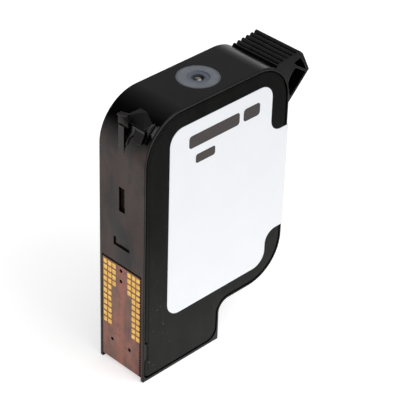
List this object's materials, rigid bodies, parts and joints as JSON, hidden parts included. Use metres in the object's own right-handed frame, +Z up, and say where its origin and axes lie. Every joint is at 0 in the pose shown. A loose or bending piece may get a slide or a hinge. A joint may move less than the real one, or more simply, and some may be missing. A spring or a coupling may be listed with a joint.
{
  "type": "thermal inkjet print cartridge",
  "caption": "Thin upright inkjet print cartridge for a date code printer, with a printing snout, gold contact pads, a filling port, a side label and a ribbed finger grip.",
  "frame": {"origin": "centre of the bounding box on the plane of the snout's foot", "axes": "+X from the contact face towards the finger grip, +Y to the side away from the main label, +Z up from the nozzles to the top"},
  "size_m": [0.062, 0.0178, 0.084],
  "materials": {
    "case_plastic": "satin black moulding",
    "cover_plastic": "satin black, fine texture",
    "liner_plastic": "translucent grey-blue",
    "label_film": "matt white film",
    "bag_film": "clear glossy film",
    "plate_steel": "brushed",
    "spring_steel": "bright",
    "filter_mesh": "woven wire",
    "ball_steel": "polished",
    "silicon": "polished silicon",
    "nozzle_nickel": "gold-flashed nickel",
    "barrier_polymer": "cured resist",
    "sealant": "cured epoxy",
    "flex_film": "translucent copper brown",
    "gold": "gold plate"
  },
  "bodies": {
    "case": {"outer_frame": "case_plastic", "inner_frame": "liner_plastic", "left_side_cover": "cover_plastic", "right_side_cover": "cover_plastic", "label": "label_film", "left_bag_film": "bag_film", "right_bag_film": "bag_film", "bow_spring": "spring_steel", "filter_carrier": "liner_plastic", "left_filter_screen": "filter_mesh", "right_filter_screen": "filter_mesh", "fill_ball": "ball_steel", "nozzle_plate": "nozzle_nickel", "ink_barrier": "barrier_polymer", "printhead_die": "silicon", "die_bond": "sealant", "front_encapsulant": "sealant", "rear_encapsulant": "sealant", "flex_circuit": "flex_film", "left_contact_pads": "gold", "right_contact_pads": "gold"},
    "left_plate": {"left_pressure_plate": "plate_steel", "left_edge_guard": "bag_film"},
    "right_plate": {"right_pressure_plate": "plate_steel", "right_edge_guard": "bag_film"}
  },
  "joints": [
    {"name": "left_plate_slide", "type": "slide", "parent": "case", "child": "left_plate", "axis": [0, -1, 0], "range_m": [0, 0.005], "stiffness_N_per_m": 60, "springref_m": -0.002, "deforming": ["bow_spring", "left_bag_film"]},
    {"name": "right_plate_slide", "type": "slide", "parent": "case", "child": "right_plate", "axis": [0, 1, 0], "range_m": [0, 0.005], "stiffness_N_per_m": 60, "springref_m": -0.002, "deforming": ["bow_spring", "right_bag_film"]}
  ],
  "couplings": [
    {"joint": "right_plate_slide", "follows": "left_plate_slide", "ratio": 1}
  ]
}
